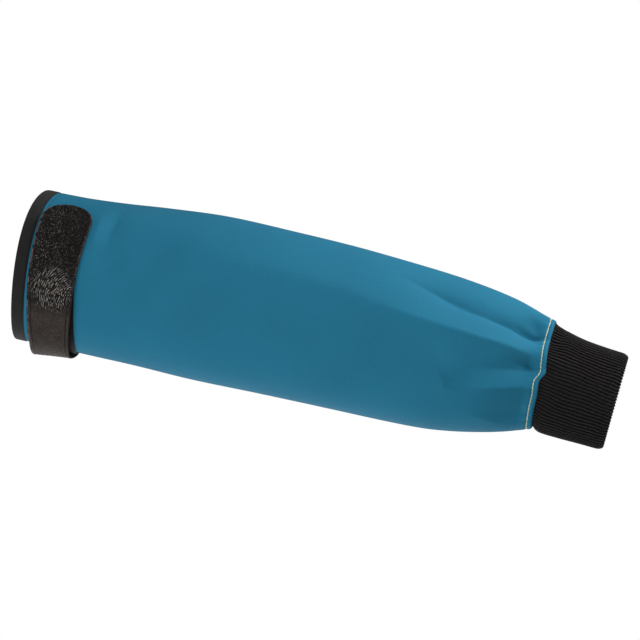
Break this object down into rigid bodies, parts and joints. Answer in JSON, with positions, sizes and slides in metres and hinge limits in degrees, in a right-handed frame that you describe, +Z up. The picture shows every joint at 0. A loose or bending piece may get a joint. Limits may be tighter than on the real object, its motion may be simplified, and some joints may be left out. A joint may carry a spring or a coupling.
{
  "type": "sleeve protector",
  "caption": "Tapered cloth arm sleeve with an elastic band and leather closing strap at the upper arm and a rib-knit cuff at the wrist.",
  "frame": {"origin": "centre of the upper-arm opening, in the plane of the band's free edge", "axes": "+X along the arm from the upper-arm opening to the wrist, -Y to the front that shows the strap's tip, +Z up"},
  "size_m": [0.4599, 0.1186, 0.1353],
  "materials": {
    "blue_cloth": "matte woven cloth",
    "black_elastic": "matte woven elastic",
    "black_leather": "grained leather, low sheen",
    "hook_and_loop": "matte pile",
    "rib_knit": "matte rib knit"
  },
  "bodies": {
    "root": {"sleeve_body": "blue_cloth", "arm_band": "black_elastic", "arm_strap": "black_leather", "strap_fastener": "hook_and_loop", "wrist_cuff": "rib_knit"}
  },
  "joints": []
}
